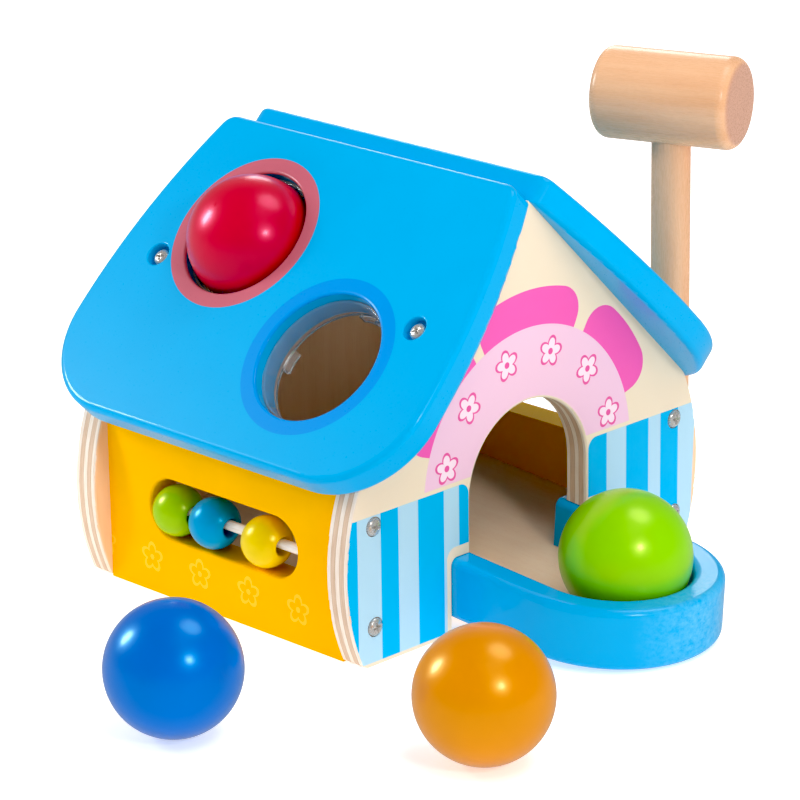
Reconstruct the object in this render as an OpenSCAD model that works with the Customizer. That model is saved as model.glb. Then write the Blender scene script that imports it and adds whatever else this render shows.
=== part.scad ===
// Ball pounding house: a plywood toy house with a hammer-through roof, a ball run and a tray.
// Millimetres, +Z up, front gable facing -Y, origin on the floor under the middle of the house.

/* [Gables] */
// Thickness of the two gable boards
gable_t = 11; // [9:0.5:16]
// Depth of the house over both gables
house_depth = 150.2; // [136:0.2:180]
// Height of the gable's point
apex_z = 159.3; // [150:0.1:172]
// Half width at the fullest part of the bowed sides
gable_half_w = 95.8; // [94:0.1:102]
// Radius of the bowed sides
gable_bow_r = 86; // [74:1:110]
// Height of the fullest part of the bowed sides
gable_bow_z = 36; // [30:1:42]
// Rounding of the foot corners
gable_foot_r = 4; // [2:0.5:7]
// Rounding of a gable's bowed edges and of the doorway's edges
gable_edge_r = 1; // [0.5:0.1:1.5]
// Width of the doorway
door_w = 64; // [56:1:70]
// Height at which the doorway starts to arch
door_spring_z = 50; // [42:1:58]

/* [Side walls] */
// Thickness of the side walls
wall_t = 12; // [10:0.5:16]
// Distance between the outer faces of the two side walls
wall_span = 176; // [168:1:182]
// Height of the side walls
wall_h = 66; // [60:0.5:70]
// Length of the bead slot
slot_len = 81; // [76:0.5:92]
// Height of the bead slot
slot_h = 24; // [23.5:0.5:30]
// Height of the slot's middle above the floor
slot_z = 36; // [34:0.5:40]
// Rounding of the bead slot's outer edge
slot_edge_r = 1; // [0.5:0.1:1.5]
// Height of the low middle stretch of the right wall's top edge
scoop_z = 39.5; // [38:0.5:56]
// Width of that low stretch
scoop_w = 90; // [50:1:110]
// Rounding of its corners
scoop_r = 9; // [4:0.5:10]

/* [Ramp and tray] */
// Thickness of the ramp board
ramp_t = 4; // [3:0.5:5]
// Fall of the ramp towards the tray, in degrees
ramp_tilt = 4; // [3:0.25:4.5]
// Height of the ramp's upper face at the middle of the house
ramp_mid_z = 16; // [15.7:0.1:19]
// Depth of the grooves that house the ramp in the side walls
ramp_groove = 3; // [2:0.5:3.5]
// Width of the tray's rim
rim_w = 12; // [9:0.5:15]
// Height of the tray's rim
rim_h = 24; // [19:0.5:28]
// Rounding of the rim's edges
rim_edge_r = 3; // [1:0.25:4]
// Radius of the tray inside its round end
tray_r = 30; // [28:0.5:32]
// Distance along the ramp from the house's middle to the centre of the round end
tray_reach = 116.3; // [106:0.1:117]
// Depth of the rim's lower edge below the ramp's upper face
rim_drop = 4.6; // [4.4:0.1:6]
// Depth of the groove that houses the ramp's tongue in the rim
rim_groove = 2; // [1:0.25:3]
// Length of the rim's arms behind the front gable
arm_past = 4.6; // [2:0.1:10]

/* [Roof] */
// Thickness of the roof boards
roof_t = 12; // [9:0.5:15]
// Slope of the roof, in degrees
roof_pitch = 45; // [43:0.5:47]
// Length of a roof board down the slope
roof_len = 133; // [126:0.5:142]
// Width of a roof board along the ridge
roof_ridge_w = 154; // [152:0.5:166]
// Width of a roof board at its widest
roof_max_w = 188.6; // [182:0.2:204]
// Radius of the large eave corners
eave_r = 37.5; // [30:0.5:42]
// Rounding of the board's edges
roof_edge_r = 2.5; // [1:0.25:4]
// Plan rounding of the corners at the ridge
ridge_corner_r = 7; // [5:0.5:10]
// Radius of the two ball holes
hole_r = 27; // [26.8:0.1:29]
// Distance down the slope to the middle between the holes
hole_mid_s = 66.5; // [62:0.5:70]
// Offset of each hole from that middle, down the slope
hole_off_s = 19.65; // [17:0.05:24]
// Offset of each hole from that middle, along the ridge
hole_off_y = 34; // [32:0.25:35]
// Rounding of a ball hole's upper edge
hole_edge_r = 1; // [0.5:0.1:2]
// Distance down the slope to the roof screws
roof_screw_s = 65; // [58:0.5:72]

/* [Grip rings] */
// Depth of the ring's upper lip below the roof's face
ring_top_drop = 4.4; // [2:0.1:6]
// Wall of the ring
ring_wall = 1.2; // [0.8:0.1:1.3]
// Width of the ring's lip under the roof
ring_lip_w = 1.4; // [0.8:0.1:1.6]
// Thickness of the lip
ring_lip_t = 2; // [1.6:0.1:3]
// Radius to the tips of the lugs
lug_tip_r = 24.2; // [23.8:0.1:24.6]
// Length of a lug round the ring
lug_len = 9; // [6:0.5:16]
// Height of a lug, which hangs below the lip like a finger
lug_h = 4; // [1.6:0.1:5]
// Depth of a lug's upper face below the roof's underside
lug_drop = 0.5; // [0.4:0.1:1]

/* [Balls and beads] */
// Diameter of the balls
ball_d = 50; // [49.2:0.1:50.6]
// Place of the blue ball, to the left of the house's middle
blue_ball_x = -175; // [-220:1:-150]
// Place of the blue ball, in front of the house's middle
blue_ball_y = -69; // [-110:1:0]
// Place of the orange ball, to the left of the house's middle
orange_ball_x = -117.7; // [-150:0.1:-100]
// Place of the orange ball, in front of the house's middle
orange_ball_y = -164.7; // [-200:0.1:-150]
// Diameter of the beads
bead_d = 20; // [18:0.1:20.4]
// Diameter of the hole through a bead
bead_hole_d = 7; // [6.5:0.1:8]
// Rounding where a bead's hole meets its outside
bead_edge_r = 0.8; // [0.4:0.1:1.2]
// Diameter of the bead rod
rod_d = 4; // [3:0.1:4.5]
// Distance from the left wall's outer face to the rod
rod_inset = 4; // [3:0.1:6]
// Length of rod held in the wood at each end of the slot
rod_bury = 10; // [6:0.5:14]
// Place of the green bead along the rod
green_bead_y = 28.9; // [27:0.1:29.2]
// Place of the blue bead along the rod
blue_bead_y = 8.5; // [4:0.1:8.5]
// Place of the yellow bead along the rod
yellow_bead_y = -20.3; // [-26:0.1:-18]

/* [Mallet] */
// Diameter of the mallet's head
head_d = 36.5; // [30:0.5:40]
// Length of the mallet's head
head_len = 57.5; // [46:0.5:64]
// Rounding of the head's ends
head_edge_r = 4.5; // [2:0.25:7]
// Diameter of the handle
handle_d = 15.5; // [12:0.25:16]
// Rounding of the handle's ends
handle_end_r = 2.5; // [1:0.25:4]
// Height of the standing mallet
mallet_h = 190.2; // [170:0.1:220]
// Depth of the handle's socket in the head
socket_depth = 26; // [18:0.5:30]
// Place of the standing mallet, to the right of the house's middle
mallet_x = 112; // [111:0.5:140]
// Place of the standing mallet, in front of the house's middle
mallet_y = -46; // [-70:0.5:40]
// Turn of the head, in degrees from the house's width
mallet_turn = -70; // [-90:1:-50]

/* [Screws] */
// Diameter of a screw's shank
screw_d = 3.4; // [2.5:0.1:4]
// Length of a screw under its head
screw_len = 30; // [24:0.5:34]
// Diameter of a screw's head
screw_head_d = 7; // [6:0.1:8]
// Height of a screw's head
screw_head_h = 2.4; // [1.8:0.1:3]
// Depth of the seats in the gables
gable_seat = 1; // [0.4:0.1:2]
// Depth of the seats in the roof
roof_seat = 3.5; // [2.5:0.1:5]
// Diameter of the seats in the roof
roof_seat_d = 9.6; // [8.5:0.1:11]
// Rounding of a roof screw seat's upper edge
seat_edge_r = 0.6; // [0.3:0.1:1]
// Height of the lower gable screws
low_screw_z = 15; // [12:0.5:16]
// Height of the upper gable screws
high_screw_z = 54; // [50:0.5:56]

/* [Fits] */
// Gap round pieces that are glued or housed
glue_gap = 0.1; // [0.05:0.01:0.2]
// Gap between pieces that move on each other
run_gap = 0.3; // [0.2:0.05:0.5]
// Gap round a screw's shank
shank_gap = 0.05; // [0.02:0.01:0.1]

/* [Hidden] */
$fn = 96;
// overshoot of cutting tools past the faces that they cut
over = 1;

ball_r = ball_d / 2;
gable_outer_y = house_depth / 2;
gable_inner_y = gable_outer_y - gable_t;
gable_mid_y = gable_outer_y - gable_t / 2;
wall_outer_x = wall_span / 2;
wall_inner_x = wall_outer_x - wall_t;
wall_mid_x = wall_outer_x - wall_t / 2;
gable_bow_x = gable_half_w - gable_bow_r;
gable_run = apex_z / tan(roof_pitch);

rim_outer_r = tray_r + rim_w;
tongue_half_w = tray_r + rim_groove - glue_gap;
arm_end_y = gable_inner_y / cos(ramp_tilt) - arm_past;

side_s = roof_len - eave_r;
side_y = roof_max_w / 2;
side_rise = (roof_max_w - roof_ridge_w) / 2;
side_r = (side_s * side_s + side_rise * side_rise) / (2 * side_rise);
side_turn = asin(side_s / side_r);
eave_y = side_y - eave_r;

ring_outer_r = hole_r - glue_gap;
ring_inner_r = ring_outer_r - ring_wall;
ring_lip_r = hole_r + ring_lip_w;
lug_top_h = -lug_drop;
// height over the roof's underside at which a ball rests on the lugs, just clear of their tips
ball_seat_h = lug_top_h + sqrt(pow(ball_r + run_gap, 2) - pow(lug_tip_r, 2));

rod_x = -wall_outer_x + rod_inset;
bead_z = slot_z - (bead_hole_d - rod_d) / 2 + run_gap;

// distance from the round end's centre at which a ball meets the rim's rounded inner edge
ball_stop = tray_r + rim_edge_r
    - sqrt(pow(ball_r + rim_edge_r + run_gap, 2)
         - pow(ball_r + run_gap - rim_h + rim_drop + rim_edge_r, 2));

head_z = mallet_h - head_d / 2;
socket_z = head_z - head_d / 2 + socket_depth;

paint_blue = [0.02, 0.62, 0.9];
paint_yellow = [0.98, 0.7, 0.05];
ply_wood = [0.9, 0.78, 0.62];
beech = [0.87, 0.67, 0.47];
steel = [0.75, 0.75, 0.77];

// Frames of the tilted parts

// local X down the slope from the ridge, Y along the ridge, Z out of the roof
module roof_frame(side) {
    mirror([side < 0 ? 1 : 0, 0, 0])
        translate([0, 0, apex_z])
            rotate([0, roof_pitch, 0])
                children();
}

// local Y up the ramp, Z square to its upper face
module ramp_frame() {
    translate([0, 0, ramp_mid_z])
        rotate([ramp_tilt, 0, 0])
            children();
}

// stands a drawing in X and Z upright, with its thickness from y0 to y0 + t
module upright(y0, t) {
    translate([0, y0 + t, 0])
        rotate([90, 0, 0])
            linear_extrude(t)
                children();
}

// Shared outlines and tools

// corner left outside a round of radius r at c that touches its two sides at p1 and p2
module corner_trim(c, r, p1, p2, outside) {
    difference() {
        polygon([c, p1, outside, p2]);
        translate(c) circle(r);
    }
}

// what a rounded edge leaves off a square corner at the origin, with the wood left of it and below
module edge_trim(r) {
    difference() {
        translate([-r, -r]) square(r + over);
        translate([-r, -r]) circle(r);
    }
}

// rounds the edge of a hole, or of a part of one, in a face at z = 0
module hole_edge_trim(hole_r, r, turn = 360) {
    rotate_extrude(angle = turn)
        translate([hole_r, 0]) mirror([1, 0]) edge_trim(r);
}

// half of a board's section: square at x = 0, rounded at x = w
module board_section(w, t, r) {
    square([w - r, t]);
    translate([0, r]) square([w, t - 2 * r]);
    translate([w - r, r]) circle(r);
    translate([w - r, t - r]) circle(r);
}

// rectangle from its lower left corner, rounded all round
module rounded_bar(w, h, r) {
    translate([r, 0]) square([w - 2 * r, h]);
    translate([0, r]) square([w, h - 2 * r]);
    for (x = [r, w - r], y = [r, h - r])
        translate([x, y]) circle(r);
}

// round bar standing on z = 0 with both ends rounded
module rounded_pin(d, h, r) {
    rotate_extrude() board_section(d / 2, h, r);
}

// wood screw with its head's seat at z = 0 and its shank below
module wood_screw() {
    dome_r = (pow(screw_head_d / 2, 2) + pow(screw_head_h, 2)) / (2 * screw_head_h) + screw_head_h;
    cross_w = screw_head_d / 7;
    cross_len = screw_head_d * 0.58;
    tip_len = screw_d * 1.4;
    difference() {
        intersection() {
            cylinder(d = screw_head_d, h = screw_head_h);
            translate([0, 0, screw_head_h - dome_r]) sphere(dome_r);
        }
        for (a = [0, 90])
            rotate(a)
                translate([-cross_len / 2, -cross_w / 2, screw_head_h * 0.4])
                    cube([cross_len, cross_w, screw_head_h]);
    }
    translate([0, 0, tip_len - screw_len]) cylinder(d = screw_d, h = screw_len - tip_len);
    translate([0, 0, -screw_len]) cylinder(d1 = screw_d / 5, d2 = screw_d, h = tip_len);
}

// hole for a screw's shank, from its head's seat down
module shank_hole(len) {
    translate([0, 0, -len]) cylinder(r = screw_d / 2 + shank_gap, h = len + over);
}

// puts a child at each gable screw, pointing out of the gable on the given side
module at_gable_screws(side) {
    for (x = [-wall_mid_x, wall_mid_x], z = [low_screw_z, high_screw_z])
        translate([x, side * (gable_outer_y - gable_seat), z])
            rotate([-side * 90, 0, 0])
                children();
}

// puts a child at each roof screw of one slope, pointing out of the roof
module at_roof_screws(side) {
    roof_frame(side)
        for (y = [-gable_mid_y, gable_mid_y])
            translate([roof_screw_s, y, roof_t - roof_seat])
                children();
}

// House

// the bowed sides: two wide discs with rounded edges, filled square above
module gable_sides() {
    upper_z = gable_bow_z + gable_bow_r / 2;
    for (side = [-1, 1])
        translate([side * gable_bow_x, gable_bow_z, 0])
            rotate_extrude() board_section(gable_bow_r, gable_t, gable_edge_r);
    translate([-gable_run, upper_z, 0]) cube([2 * gable_run, apex_z - upper_z, gable_t]);
}

// a gable lying on its face: pointed, with bowed sides and rounded feet
module gable_blank() {
    foot_reach = gable_bow_r - gable_foot_r;
    foot_x = gable_bow_x + sqrt(pow(foot_reach, 2) - pow(gable_bow_z - gable_foot_r, 2));
    foot_turn = asin((gable_bow_z - gable_foot_r) / foot_reach);
    side_p = [gable_bow_x + gable_bow_r * cos(foot_turn), gable_bow_z - gable_bow_r * sin(foot_turn)];
    difference() {
        intersection() {
            gable_sides();
            translate([0, 0, -over])
                linear_extrude(gable_t + 2 * over)
                    polygon([[-gable_run, 0], [gable_run, 0], [0, apex_z]]);
        }
        for (m = [0, 1])
            mirror([m, 0, 0])
                translate([0, 0, -over])
                    linear_extrude(gable_t + 2 * over)
                        corner_trim([foot_x, gable_foot_r], gable_foot_r, [foot_x, -over], side_p,
                                    [side_p[0] + over, -over]);
    }
}

module doorway_outline() {
    translate([-door_w / 2, -over]) square([door_w, door_spring_z + over]);
    translate([0, door_spring_z]) circle(d = door_w);
}

// opening at the foot of the doorway for the tray's two arms
module arm_passage() {
    reach = house_depth;
    half_w = rim_outer_r + run_gap;
    ramp_frame()
        translate([0, 0, -rim_drop - over])
            rotate([90, 0, 0])
                translate([-half_w, -ramp_mid_z])
                    linear_extrude(reach)
                        rounded_bar(2 * half_w, rim_h + ramp_mid_z + run_gap + over, rim_edge_r + run_gap);
}

// rounds the doorway's edge in a face at z = 0
module doorway_trim() {
    translate([0, door_spring_z, 0]) {
        hole_edge_trim(door_w / 2, gable_edge_r, 180);
        for (m = [0, 1])
            mirror([m, 0, 0])
                translate([door_w / 2, 0, 0])
                    rotate([90, 0, 0])
                        linear_extrude(door_spring_z)
                            mirror([1, 0]) edge_trim(gable_edge_r);
    }
}

module gable_board(side) {
    difference() {
        translate([0, side > 0 ? gable_outer_y : -gable_inner_y, 0])
            rotate([90, 0, 0])
                gable_blank();
        at_gable_screws(side) {
            shank_hole(gable_t);
            cylinder(d = screw_head_d + 2 * run_gap, h = gable_seat + over);
        }
        for (slope = [-1, 1])
            at_roof_screws(slope) shank_hole(screw_len + over);
    }
}

module front_gable() {
    color(ply_wood)
        difference() {
            gable_board(-1);
            upright(-gable_outer_y - over, gable_t + 2 * over) doorway_outline();
            translate([0, -gable_mid_y, 0])
                rotate([90, 0, 0])
                    for (face = [0, 1])
                        mirror([0, 0, face])
                            translate([0, 0, gable_t / 2]) doorway_trim();
            arm_passage();
        }
}

module rear_gable() {
    color(ply_wood) gable_board(1);
}

// side wall without its cut-outs, on the left or the right
module wall_board(side) {
    groove_t = ramp_t + 2 * glue_gap;
    difference() {
        translate([side > 0 ? wall_inner_x : -wall_outer_x, -gable_inner_y, 0])
            cube([wall_t, 2 * gable_inner_y, wall_h]);
        ramp_frame()
            translate([-wall_inner_x - ramp_groove, -house_depth, -ramp_t - glue_gap])
                cube([2 * (wall_inner_x + ramp_groove), 2 * house_depth, groove_t]);
        for (end = [-1, 1])
            at_gable_screws(end) shank_hole(screw_len - gable_seat + over);
    }
}

module slot_outline() {
    straight = slot_len - slot_h;
    translate([-straight / 2, -slot_h / 2]) square([straight, slot_h]);
    for (end = [-1, 1])
        translate([end * straight / 2, 0]) circle(d = slot_h);
}

// rounds the edge of the bead slot in a face at z = 0
module slot_trim() {
    straight = slot_len - slot_h;
    for (m = [0, 1]) {
        mirror([m, 0, 0])
            translate([straight / 2, 0, 0])
                rotate(-90)
                    hole_edge_trim(slot_h / 2, slot_edge_r, 180);
        mirror([0, m, 0])
            translate([-straight / 2, slot_h / 2, 0])
                rotate([90, 0, 90])
                    linear_extrude(straight)
                        mirror([1, 0]) edge_trim(slot_edge_r);
    }
}

module left_wall() {
    rod_end = slot_len / 2 + rod_bury;
    color(paint_yellow)
        difference() {
            wall_board(-1);
            translate([-wall_outer_x - over, 0, slot_z])
                rotate([90, 0, 90])
                    linear_extrude(wall_t + 2 * over)
                        slot_outline();
            translate([-wall_outer_x, 0, slot_z])
                rotate([90, 0, -90])
                    slot_trim();
            translate([rod_x, rod_end + glue_gap, slot_z])
                rotate([90, 0, 0])
                    cylinder(r = rod_d / 2 + shank_gap, h = rod_end + gable_outer_y);
        }
}

// low stretch of the right wall's top edge, with rounded lower corners
module scoop_outline() {
    depth = wall_h - scoop_z;
    translate([-scoop_w / 2, 0]) {
        translate([scoop_r, 0]) square([scoop_w - 2 * scoop_r, depth + over]);
        translate([0, scoop_r]) square([scoop_w, depth - scoop_r + over]);
        for (x = [scoop_r, scoop_w - scoop_r])
            translate([x, scoop_r]) circle(scoop_r);
    }
}

module right_wall() {
    color(paint_yellow)
        difference() {
            wall_board(1);
            translate([wall_inner_x - over, 0, scoop_z])
                rotate([90, 0, 90])
                    linear_extrude(wall_t + 2 * over)
                        scoop_outline();
        }
}

// Ball run

// plan of the ramp: a wide board in the house and a round-ended tongue for the tray
module ramp_outline() {
    half_w = wall_inner_x + ramp_groove - glue_gap;
    house_end = (gable_inner_y - glue_gap) / cos(ramp_tilt);
    rear_y = house_end - ramp_t * tan(ramp_tilt);
    notch_w = rim_outer_r + glue_gap - tongue_half_w;
    notch_len = house_end - arm_end_y + glue_gap;
    difference() {
        translate([-half_w, -house_end]) square([2 * half_w, house_end + rear_y]);
        for (m = [0, 1])
            mirror([m, 0])
                translate([tongue_half_w, -house_end - over]) square([notch_w, notch_len + over]);
    }
    translate([-tongue_half_w, -tray_reach]) square([2 * tongue_half_w, tray_reach]);
    translate([0, -tray_reach]) circle(tongue_half_w);
}

module ramp() {
    color(ply_wood)
        ramp_frame()
            translate([0, 0, -ramp_t])
                linear_extrude(ramp_t)
                    ramp_outline();
}

module tray_rim() {
    arm_len = tray_reach - arm_end_y;
    groove_half_w = tray_r + rim_groove;
    color(paint_blue)
        ramp_frame()
            difference() {
                translate([0, -tray_reach, -rim_drop]) {
                    rotate([0, 0, 180])
                        rotate_extrude(angle = 180)
                            translate([tray_r, 0]) rounded_bar(rim_w, rim_h, rim_edge_r);
                    for (x = [-rim_outer_r, tray_r])
                        translate([x, arm_len, 0])
                            rotate([90, 0, 0])
                                linear_extrude(arm_len)
                                    rounded_bar(rim_w, rim_h, rim_edge_r);
                }
                translate([0, -tray_reach, -ramp_t - glue_gap]) {
                    cylinder(r = groove_half_w, h = ramp_t + 2 * glue_gap);
                    translate([-groove_half_w, 0, 0])
                        cube([2 * groove_half_w, tray_reach, ramp_t + 2 * glue_gap]);
                }
            }
}

// Roof

// one roof board lying flat: ridge end at x = 0, bowed sides, rounded edges and eave corners;
// the edge under the ridge stays square, so that the two boards meet there
module roof_blank() {
    band = 4 * roof_edge_r + side_rise / 2;
    inner = roof_edge_r + over;
    ridge_y = side_y - side_r + sqrt(pow(side_r - ridge_corner_r, 2) - pow(side_s - ridge_corner_r, 2));
    ridge_turn = atan2(side_s - ridge_corner_r, ridge_y - side_y + side_r);
    ridge_p = [side_s - side_r * sin(ridge_turn), side_y - side_r + side_r * cos(ridge_turn)];
    difference() {
        union() {
            translate([0, eave_y, 0])
                rotate([90, 0, 0])
                    linear_extrude(2 * eave_y)
                        board_section(roof_len, roof_t, roof_edge_r);
            for (m = [0, 1])
                mirror([0, m, 0]) {
                    translate([side_s, eave_y, 0])
                        rotate_extrude(angle = 90)
                            board_section(eave_r, roof_t, roof_edge_r);
                    translate([side_s, side_y - side_r, 0])
                        rotate([0, 0, 90])
                            rotate_extrude(angle = side_turn + 2)
                                translate([side_r - band, 0]) board_section(band, roof_t, roof_edge_r);
                    linear_extrude(roof_t)
                        polygon([[0, 0], [side_s, 0], [side_s, side_y - inner],
                                 [0, roof_ridge_w / 2 - inner]]);
                }
        }
        translate([-roof_len, -roof_max_w, -over])
            cube([roof_len, 2 * roof_max_w, roof_t + 2 * over]);
        for (m = [0, 1])
            mirror([0, m, 0]) {
                translate([0, 0, -over])
                    linear_extrude(roof_t + 2 * over)
                        corner_trim([ridge_corner_r, ridge_y], ridge_corner_r, [-over, ridge_y], ridge_p,
                                    [-over, ridge_p[1] + over]);
                translate([ridge_corner_r, ridge_y, roof_t])
                    mirror([1, 0, 0])
                        rotate_extrude(angle = 90 - ridge_turn)
                            translate([ridge_corner_r, 0]) edge_trim(roof_edge_r);
                translate([0, ridge_y, roof_t])
                    rotate([90, 0, 0])
                        linear_extrude(ridge_y + over)
                            mirror([1, 0]) edge_trim(roof_edge_r);
            }
    }
}

// roof board in its place, with its screw seats
module roof_board(side) {
    difference() {
        roof_frame(side) roof_blank();
        at_roof_screws(side) {
            shank_hole(roof_t);
            cylinder(d = roof_seat_d, h = roof_seat + over);
            translate([0, 0, roof_seat]) hole_edge_trim(roof_seat_d / 2, seat_edge_r);
        }
    }
}

// puts a child on the axis of a ball hole in the left slope: end 1 for the rear hole, -1 for the front
module at_ball_hole(end) {
    roof_frame(-1)
        translate([hole_mid_s - end * hole_off_s, end * hole_off_y, 0])
            children();
}

module left_roof() {
    color(paint_blue)
        difference() {
            roof_board(-1);
            for (end = [-1, 1])
                at_ball_hole(end) {
                    translate([0, 0, -over]) cylinder(r = hole_r, h = roof_t + 2 * over);
                    translate([0, 0, roof_t]) hole_edge_trim(hole_r, hole_edge_r);
                }
        }
}

module right_roof() {
    color(paint_blue) roof_board(1);
}

// soft ring that lines a ball hole and holds a ball on its lugs until it is hit
module grip_ring(end) {
    liner_h = roof_t - ring_top_drop;
    color([0.85, 0.9, 0.92, 0.5])
        at_ball_hole(end) {
            difference() {
                union() {
                    translate([0, 0, -ring_lip_t]) cylinder(r = ring_lip_r, h = ring_lip_t);
                    cylinder(r = ring_outer_r, h = liner_h);
                }
                translate([0, 0, -ring_lip_t - over])
                    cylinder(r = ring_inner_r, h = liner_h + ring_lip_t + 2 * over);
            }
            for (a = [0, 90, 180, 270])
                rotate(a)
                    translate([0, 0, lug_top_h - lug_h])
                        difference() {
                            translate([0, -lug_len / 2, 0])
                                cube([ring_inner_r + ring_wall / 2, lug_len, lug_h]);
                            translate([0, 0, -over]) cylinder(r = lug_tip_r, h = lug_h + 2 * over);
                        }
        }
}

module grip_ring_rear() { grip_ring(1); }
module grip_ring_front() { grip_ring(-1); }

// Beads and balls

module bead_rod() {
    rod_end = slot_len / 2 + rod_bury;
    color([0.96, 0.93, 0.88])
        translate([rod_x, rod_end, slot_z])
            rotate([90, 0, 0])
                cylinder(d = rod_d, h = 2 * rod_end);
}

// half of a bead's section, with the ends of its hole rounded
module bead_section() {
    bore_r = bead_hole_d / 2;
    bead_r = bead_d / 2;
    c = [bore_r + bead_edge_r, sqrt(pow(bead_r - bead_edge_r, 2) - pow(bore_r + bead_edge_r, 2))];
    difference() {
        intersection() {
            circle(bead_r);
            translate([bore_r, -bead_d]) square([bead_d, 2 * bead_d]);
        }
        for (m = [0, 1])
            mirror([0, m])
                corner_trim(c, bead_edge_r, [bore_r, c[1]], c * bead_r / norm(c), [bore_r, bead_r]);
    }
}

// bead hanging on the rod by the top of its hole
module bead(y) {
    translate([rod_x, y, bead_z])
        rotate([90, 0, 0])
            rotate_extrude() bead_section();
}

module bead_green() { color([0.55, 0.8, 0.1]) bead(green_bead_y); }
module bead_blue() { color([0.02, 0.5, 0.75]) bead(blue_bead_y); }
module bead_yellow() { color([0.95, 0.82, 0.05]) bead(yellow_bead_y); }

module ball_red() {
    color([0.85, 0.04, 0.1])
        at_ball_hole(1)
            translate([0, 0, ball_seat_h]) sphere(ball_r);
}

module ball_green() {
    color([0.5, 0.85, 0.05])
        ramp_frame()
            translate([0, -tray_reach - ball_stop, ball_r + run_gap]) sphere(ball_r);
}

module ball_blue() {
    color([0.02, 0.4, 0.9])
        translate([blue_ball_x, blue_ball_y, ball_r]) sphere(ball_r);
}

module ball_orange() {
    color([0.95, 0.58, 0.05])
        translate([orange_ball_x, orange_ball_y, ball_r]) sphere(ball_r);
}

// Mallet

module mallet_head() {
    color(beech)
        translate([mallet_x, mallet_y, 0])
            difference() {
                translate([0, 0, head_z])
                    rotate([0, 90, mallet_turn])
                        translate([0, 0, -head_len / 2])
                            rounded_pin(head_d, head_len, head_edge_r);
                cylinder(r = handle_d / 2 + shank_gap, h = socket_z + glue_gap);
            }
}

module mallet_handle() {
    color(beech)
        translate([mallet_x, mallet_y, 0])
            rounded_pin(handle_d, socket_z, handle_end_r);
}

// Fasteners

module front_gable_screws() { color(steel) at_gable_screws(-1) wood_screw(); }
module rear_gable_screws() { color(steel) at_gable_screws(1) wood_screw(); }
module left_roof_screws() { color(steel) at_roof_screws(-1) wood_screw(); }
module right_roof_screws() { color(steel) at_roof_screws(1) wood_screw(); }

front_gable();
rear_gable();
left_wall();
right_wall();
ramp();
tray_rim();
left_roof();
right_roof();
grip_ring_rear();
grip_ring_front();
bead_rod();
bead_green();
bead_blue();
bead_yellow();
ball_red();
ball_green();
ball_blue();
ball_orange();
mallet_head();
mallet_handle();
front_gable_screws();
rear_gable_screws();
left_roof_screws();
right_roof_screws();
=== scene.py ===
import math

import bpy
from mathutils import Matrix, Vector


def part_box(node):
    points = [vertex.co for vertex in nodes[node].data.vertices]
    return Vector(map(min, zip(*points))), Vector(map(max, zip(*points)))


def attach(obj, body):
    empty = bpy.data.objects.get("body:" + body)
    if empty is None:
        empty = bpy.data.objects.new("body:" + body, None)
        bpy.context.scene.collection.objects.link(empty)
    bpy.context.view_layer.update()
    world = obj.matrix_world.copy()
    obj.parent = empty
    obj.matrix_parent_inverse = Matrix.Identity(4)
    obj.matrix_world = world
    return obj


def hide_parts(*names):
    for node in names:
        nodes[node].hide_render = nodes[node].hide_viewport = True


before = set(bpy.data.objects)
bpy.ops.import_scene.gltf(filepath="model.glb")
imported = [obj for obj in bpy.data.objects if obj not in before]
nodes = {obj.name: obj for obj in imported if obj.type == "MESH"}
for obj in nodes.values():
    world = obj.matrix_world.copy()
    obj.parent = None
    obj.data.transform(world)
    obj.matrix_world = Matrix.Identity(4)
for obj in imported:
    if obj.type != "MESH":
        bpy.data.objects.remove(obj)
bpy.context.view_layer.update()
mm = 0.001
hair = 0.01  # slack in mm when faces and corners are picked by their place
white = (1.0, 1.0, 1.0, 1.0)
noiseSpread = (0.3, 0.7)  # most of a noise texture's values lie in here
print("frame loaded:", len(nodes), "nodes")


# small helpers for shader trees

def tint(red, green, blue):  # a colour as a screen shows it, 0 to 255, made linear for a shader
    def linear(value):
        value /= 255
        return value / 12.92 if value <= 0.04045 else ((value + 0.055) / 1.055) ** 2.4
    return (linear(red), linear(green), linear(blue), 1.0)


def feed(tree, socket, value):  # a socket takes a link or a plain value
    if isinstance(value, bpy.types.NodeSocket):
        tree.links.new(value, socket)
    else:
        socket.default_value = value


def newMaterial(name):
    material = bpy.data.materials.new(name)
    material.use_nodes = True
    return material, material.node_tree, material.node_tree.nodes["Principled BSDF"]


def calc(tree, operation, *values):
    node = tree.nodes.new("ShaderNodeMath")
    node.operation = operation
    for socket, value in zip(node.inputs, values):
        feed(tree, socket, value)
    return node.outputs[0]


def vectorCalc(tree, operation, *values):
    node = tree.nodes.new("ShaderNodeVectorMath")
    node.operation = operation
    for socket, value in zip(node.inputs, values):
        feed(tree, socket, value)
    return node.outputs["Value" if operation in ("DOT_PRODUCT", "DISTANCE") else "Vector"]


def split(tree, vector):
    node = tree.nodes.new("ShaderNodeSeparateXYZ")
    feed(tree, node.inputs[0], vector)
    return node.outputs[0], node.outputs[1], node.outputs[2]


def mixColour(tree, share, under, over, blend="MIX"):
    node = tree.nodes.new("ShaderNodeMix")
    node.data_type = "RGBA"
    node.blend_type = blend
    feed(tree, node.inputs[0], share)
    feed(tree, node.inputs[6], under)
    feed(tree, node.inputs[7], over)
    return node.outputs[2]


def remap(tree, value, fromRange, toRange=(0.0, 1.0)):
    node = tree.nodes.new("ShaderNodeMapRange")
    for socket, number in zip(node.inputs, (value, *fromRange, *toRange)):
        feed(tree, socket, number)
    return node.outputs[0]


def noise(tree, point, waves, detail=3.0, roughness=0.55):  # waves: how many per mm along X, Y and Z
    node = tree.nodes.new("ShaderNodeTexNoise")
    feed(tree, node.inputs["Vector"], vectorCalc(tree, "MULTIPLY", point, waves))
    node.inputs["Scale"].default_value = 1.0
    node.inputs["Detail"].default_value = detail
    node.inputs["Roughness"].default_value = roughness
    return node.outputs["Fac"]


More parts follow.
